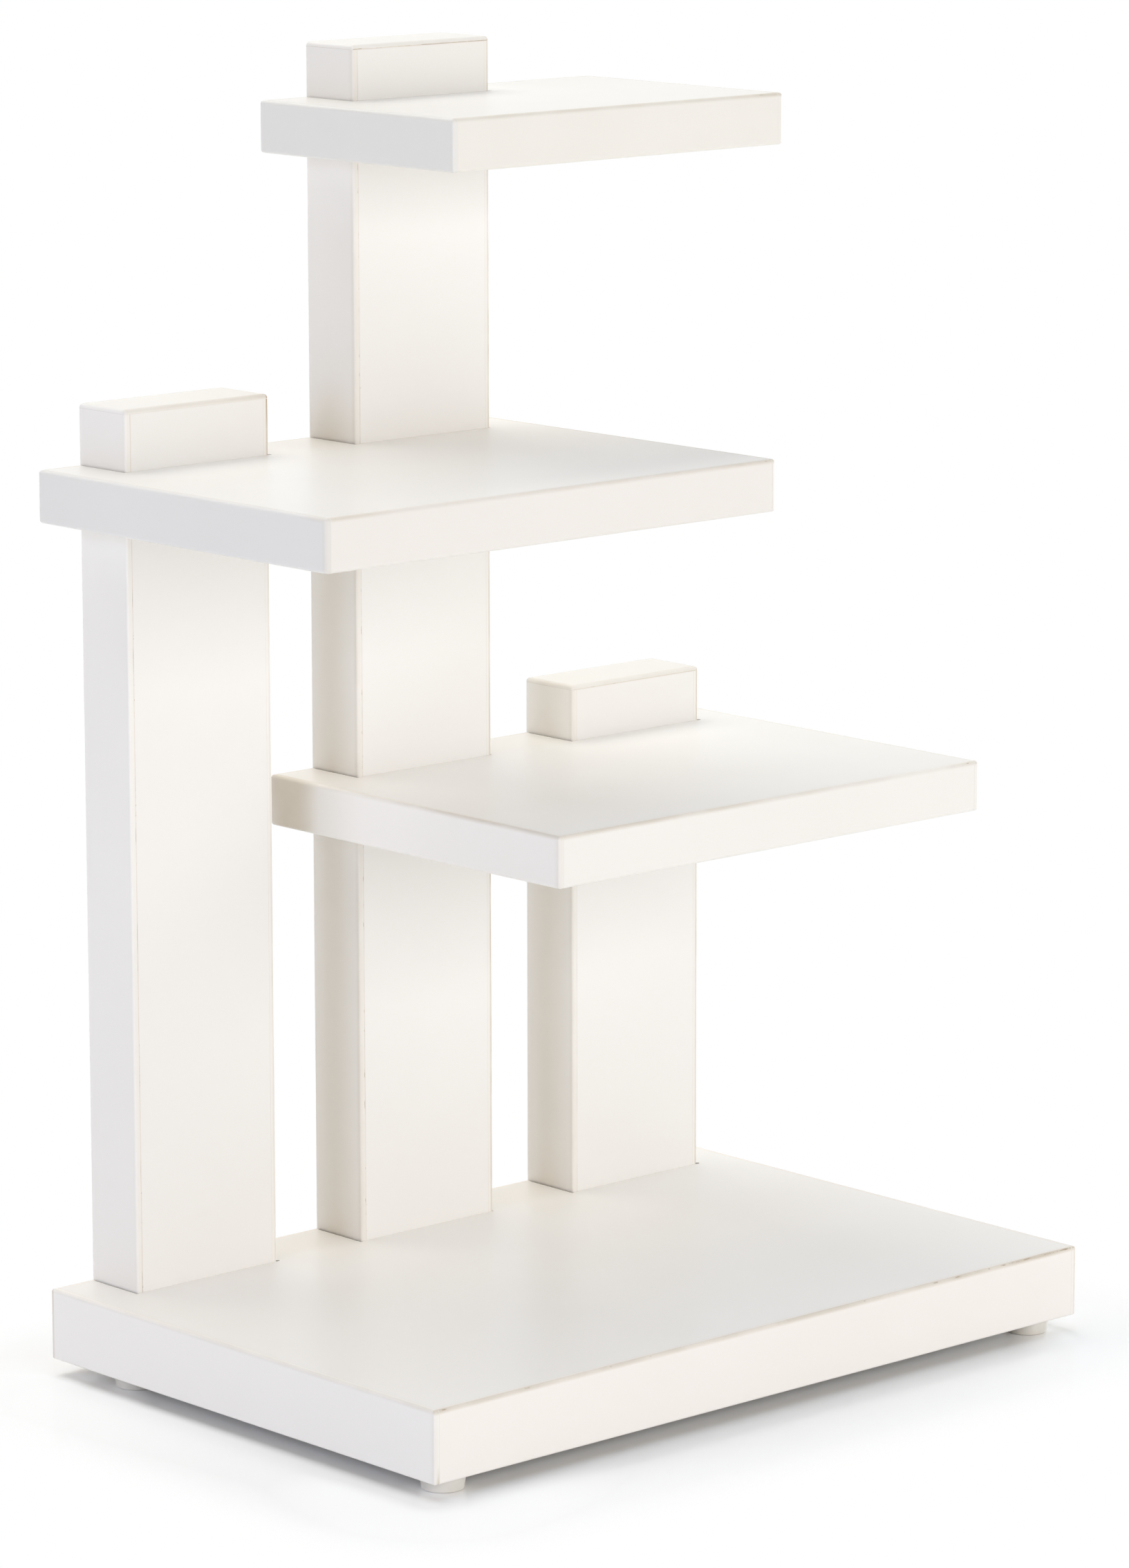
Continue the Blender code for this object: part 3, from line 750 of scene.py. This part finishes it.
def add_band(node, exposed, radii, material):
    """A finer copy of one edge band, with uneven roundings, and chipped where it is badly nicked."""
    low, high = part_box(node)
    chipped = any(max(mark.nicks) > CHIPPED_NICKS for mark in marks_of(node))
    points, quads = block_grid(low, high, exposed, *radii, CHIPPED_STEP if chipped else BAND_STEP)
    points, outward, share = rounded(points, low, high, exposed, *radii)
    tan, nicks = marks_on(node, points)
    wave = np.clip(ARRIS_WAVE_MEAN + noise_at(points, ARRIS_WAVE_SCALE, ARRIS_WAVE_SHIFT), 0.0, 1.0)
    bite = noise_at(points, CHIP_SCALE, CHIP_SHIFT) + nicks - CHIP_START
    bite = np.clip(bite / CHIP_RISE, 0.0, 1.0) * share
    points = points - outward * (share * wave * ARRIS_WAVE + bite * CHIP_DEPTH)[:, None]
    run = points[:, np.argmax(np.array(high) - np.array(low))]
    chip = np.clip(CHIP_BARE * bite, 0.0, 1.0)
    attributes = {"tan": tan, "nicks": nicks, "chip": chip, "run": run}
    piece = new_mesh_object(f"{node}_worn", points, quads, material, attributes)
    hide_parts(node)


def add_glue(owner, strips, radii, material):
    """The glue lines of one board or post: thin strips under the surface, as (low, high, exposed, soil)."""
    points, quads, darkened, count = [], [], [], 0
    for low, high, exposed, soil in strips:
        low, high = np.array(low, float), np.array(high, float)
        for side in exposed:
            axis, end = AXES[side]
            if end:
                high[axis] -= GLUE_RECESS
            else:
                low[axis] += GLUE_RECESS
        grid, faces = block_grid(low, high, exposed, *radii, GLUE_STEP)
        points.append(rounded(grid, low, high, exposed, *radii)[0])
        quads.append(faces + count)
        darkened.append(np.full(len(grid), soil))
        count += len(grid)
    points, quads = np.concatenate(points), np.concatenate(quads)
    attributes = {"soil": np.concatenate(darkened)}
    new_mesh_object(f"{owner}_glue_lines", points, quads, material, attributes)


def between(first, second, axis, low, high):
    """The corners of the gap between two boxes along one axis, with the given extent along the others."""
    low, high = list(low), list(high)
    low[axis] = min(first[1][axis], second[1][axis])
    high[axis] = max(first[0][axis], second[0][axis])
    return low, high


def notch_fronts(board):
    """The corners of the gaps in front of the posts that cross a board."""
    low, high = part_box(f"{board}_panel")
    gaps = []
    for post in POSTS:
        left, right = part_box(f"{post}_left_edge_band")[0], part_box(f"{post}_right_edge_band")[1]
        if low.x < left.x and right.x < high.x and high.z < right.z:
            gaps.append(((left.x, left.y - NOTCH_GAP, low.z), (right.x, left.y, high.z)))
    return gaps


def add_board_edges(board, plastic, left_plastic, glue):
    """The bands of one board, and the glue lines behind them and in front of the posts."""
    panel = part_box(f"{board}_panel")
    radii = ROUNDINGS[board]
    strips = []
    for side in ("left", "right"):
        node = f"{board}_{side}_edge_band"
        finish = left_plastic if side == "left" else plastic
        add_band(node, (side, "front", "back", "bottom", "top"), radii, finish)
        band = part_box(node)
        sides = ("front", "back", "bottom", "top")
        strips.append((*between(panel, band, 0, *band), sides, seam_soil(board, side)))
    edges = {f"{board}_front_edge_band": "front"}
    prefix = f"{board}_back_edge_band_"
    edges.update({name: "back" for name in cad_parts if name.startswith(prefix)})
    for node, side in edges.items():
        add_band(node, (side, "bottom", "top"), radii, plastic)
        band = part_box(node)
        strips.append((*between(panel, band, 1, *band), ("bottom", "top"), seam_soil(board, side)))
    for low, high in notch_fronts(board):
        strips.append((low, high, ("bottom", "top"), LIGHT_SOIL))
    add_glue(board, strips, radii, glue)


def add_post_edges(post, plastic, glue):
    """The bands of one post and the glue lines behind them."""
    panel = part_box(f"{post}_panel")
    strips = []
    for side in ("left", "right"):
        node = f"{post}_{side}_edge_band"
        add_band(node, (side, "front", "back"), POST_ROUNDINGS, plastic)
        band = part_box(node)
        strips.append((*between(panel, band, 0, *band), ("front", "back"), seam_soil(post, side)))
    node = f"{post}_top_edge_band"
    add_band(node, ("left", "right", "front", "back", "top"), POST_ROUNDINGS, plastic)
    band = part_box(node)
    sides = ("left", "right", "front", "back")
    strips.append((*between(panel, band, 2, *band), sides, seam_soil(post, "top")))
    add_glue(post, strips, POST_ROUNDINGS, glue)


def add_foot(node, material):
    """A turned foot: its stem in the base, and a disc that draws in a little to a rounded sole."""
    low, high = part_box(node)
    centre = (low + high) / 2
    rim = (high.x - low.x) / 2
    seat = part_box("base_panel")[0].z - FOOT_SEAT
    corner = rim - FOOT_TAPER - FOOT_ROUND
    section = [(0.0, high.z), (STEM_RADIUS, high.z), (STEM_RADIUS, seat), (rim, seat)]
    for step in range(FOOT_ROUND_STEPS + 1):
        angle = step / FOOT_ROUND_STEPS * pi / 2
        section.append((corner + FOOT_ROUND * cos(angle), FOOT_ROUND * (1 - sin(angle))))
    section.append((0.0, 0.0))
    points = [(centre.x, centre.y, height) for _, height in (section[0], section[-1])]
    turns = [2 * pi * i / FOOT_STEPS for i in range(FOOT_STEPS)]
    for radius, height in section[1:-1]:
        points += [(centre.x + radius * cos(t), centre.y + radius * sin(t), height) for t in turns]
    rings = [[2 + ring * FOOT_STEPS + i for i in range(FOOT_STEPS)] for ring in range(len(section) - 2)]
    faces = []
    for i in range(FOOT_STEPS):
        j = (i + 1) % FOOT_STEPS
        faces.append((0, rings[0][i], rings[0][j]))
        faces.append((1, rings[-1][j], rings[-1][i]))
        for upper, lower in zip(rings, rings[1:]):
            faces.append((upper[i], lower[i], lower[j], upper[j]))
    piece = new_mesh_object(f"{node}_turned", points, faces, material)
    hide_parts(node)


def whiteness_and_painted_light(shader):
    """How far the floor has gone over into plain white, by its place around the base, with painted light
    beside its left side and around its front left corner.
    """
    low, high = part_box("base_left_edge_band")[0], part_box("base_right_edge_band")[1]
    place = shader.coordinates()
    beyond = shader.add("ShaderNodeCombineXYZ")
    outside = []
    for axis in range(2):
        before = shader.math("SUBTRACT", low[axis], place[axis])
        past = shader.math("SUBTRACT", place[axis], high[axis])
        outside.append(shader.math("MAXIMUM", shader.math("MAXIMUM", before, past), 0.0))
        shader.feed(beyond.inputs[axis], outside[axis])
    away = shader.distance((0.0, 0.0, 0.0), beyond.outputs[0])
    white = shader.ramp(away, *WHITE_REACH)

    # The strip of painted light along the left side fans out past the base's front and back
    beside = shader.math("SUBTRACT", low.x, place["X"])
    painted_light = shader.ramp(place["Y"], low.y, high.y, *PAINTED_LIGHT_SHARES)
    start = shader.math("SUBTRACT", PAINTED_LIGHT_REACH[0], outside[1])
    end = shader.math("ADD", PAINTED_LIGHT_REACH[1], outside[1])
    painted_light = shader.math("MULTIPLY", painted_light, shader.ramp(beside, start, end))
    white = shader.math("MAXIMUM", white, painted_light)

    # The patch of painted light around the front left corner
    painted_light = shader.ramp(shader.distance((low.x, low.y, 0.0)), *CORNER_PAINTED_LIGHT_REACH, CORNER_PAINTED_LIGHT_SHARE, 0.0)
    painted_light = shader.math("MULTIPLY", painted_light, shader.ramp(away, 0.0, CORNER_PAINTED_LIGHT_RISE))
    return shader.math("MAXIMUM", white, painted_light)


def add_floor():
    """A white floor that goes over into a plain white background away from the object, with painted light on
    it beside the base.
    """
    shader = Shader("floor_white")
    seen = shader.seen()
    shader.set("Base Color", shader.mix(seen, FLOOR_WHITE, FLOOR_SEEN))
    shader.set("Roughness", FLOOR_ROUGHNESS)
    shader.set("Specular IOR Level", FLOOR_SPECULAR)
    glow = shader.add("ShaderNodeEmission")
    # white: the plain white background and the painted light beside the base, seen by the camera and in
    # reflections
    white = shader.math("MULTIPLY", whiteness_and_painted_light(shader), seen)
    blend = shader.blend(white, shader.surface.outputs[0], glow.outputs[0])
    shader.feed(shader.output.inputs["Surface"], blend)

    half = FLOOR_SIZE / 2
    corners = [(-half, -half, 0.0), (half, -half, 0.0), (half, half, 0.0), (-half, half, 0.0)]
    mesh = bpy.data.meshes.new("floor")
    mesh.from_pydata(corners, [], [(0, 1, 2, 3)])
    mesh.materials.append(shader.material)
    floor = bpy.data.objects.new("floor", mesh)
    bpy.context.scene.collection.objects.link(floor)


def add_world():
    """White where the camera or a reflection sees it, and a plain dimmer light on the object."""
    world = bpy.data.worlds.new("studio")
    bpy.context.scene.world = world
    world.use_nodes = True
    nodes = Nodes(world.node_tree)
    nodes.tree.nodes.clear()
    backgrounds = []
    for colour, strength in ((AMBIENT_COLOUR, AMBIENT_STRENGTH), (BACKGROUND_COLOUR, BACKGROUND_STRENGTH)):
        background = nodes.add("ShaderNodeBackground")
        nodes.feed(background.inputs["Color"], colour)
        nodes.feed(background.inputs["Strength"], strength)
        backgrounds.append(background.outputs[0])
    output = nodes.add("ShaderNodeOutputWorld")
    nodes.feed(output.inputs["Surface"], nodes.blend(nodes.seen(), *backgrounds))


def add_light(name, place, aim, width, height, power, colour):
    data = bpy.data.lights.new(name, "AREA")
    data.shape = "RECTANGLE"
    data.size = width
    data.size_y = height
    data.energy = power
    data.color = colour
    light = bpy.data.objects.new(name, data)
    light.location = place
    light.rotation_euler = (Vector(aim) - Vector(place)).to_track_quat("-Z", "Y").to_euler()
    bpy.context.scene.collection.objects.link(light)


def add_camera():
    turn, pitch, roll = radians(CAMERA_TURN), radians(CAMERA_PITCH), radians(CAMERA_ROLL)
    view = Vector((sin(turn) * cos(pitch), cos(turn) * cos(pitch), -sin(pitch)))
    level = Vector((cos(turn), -sin(turn), 0.0))
    down = view.cross(level)
    right = cos(roll) * level + sin(roll) * down
    up = sin(roll) * level - cos(roll) * down
    data = bpy.data.cameras.new("photo_camera")
    data.lens = CAMERA_LENS
    data.sensor_width = CAMERA_SENSOR
    data.sensor_fit = "AUTO"
    data.clip_end = CAMERA_CLIP
    camera = bpy.data.objects.new("photo_camera", data)
    rotation = Matrix((right, up, -view)).transposed().to_4x4()
    camera.matrix_world = Matrix.Translation(Vector(CAMERA_AIM) - CAMERA_DISTANCE * view) @ rotation
    bpy.context.scene.collection.objects.link(camera)
    bpy.context.scene.camera = camera


def dress_board(board):
    """The base or a shelf: its facing, bands and glue."""
    set_material(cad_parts[f"{board}_panel"], board_finish(board, BOARD_SEAMS, "top"))
    tint = BAND_TINTS.get(board, PLAIN_TINT)
    left = f"{board}_left"
    left_plastic = band_finish(left, BAND_TINTS.get(left, tint))
    add_board_edges(board, band_finish(board, tint), left_plastic, glue_finish(board))


def dress_post(post):
    """A post: its facing, bands and glue."""
    set_material(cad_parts[f"{post}_panel"], board_finish(post, POST_SEAMS, "front"))
    add_post_edges(post, band_finish(post, PLAIN_TINT), glue_finish(post))


def dress_dowels_and_feet():
    beech = dowel_finish()
    moulded = foot_finish()
    for name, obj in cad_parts.items():
        if name.endswith("_dowel"):
            set_material(obj, beech)
        if name.startswith("foot_"):
            add_foot(name, moulded)


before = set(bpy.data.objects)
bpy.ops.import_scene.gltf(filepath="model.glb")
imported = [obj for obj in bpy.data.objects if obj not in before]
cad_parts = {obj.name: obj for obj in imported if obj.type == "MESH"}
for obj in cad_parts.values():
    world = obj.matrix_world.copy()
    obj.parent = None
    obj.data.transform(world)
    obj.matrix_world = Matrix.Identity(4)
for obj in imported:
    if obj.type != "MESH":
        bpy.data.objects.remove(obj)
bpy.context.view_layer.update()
bpy.context.scene.view_settings.view_transform = "Standard"

add_camera()
add_world()
for light in LIGHTS:
    add_light(*light)
add_floor()

for board in BOARDS:
    dress_board(board)
for post in POSTS:
    dress_post(post)
dress_dowels_and_feet()
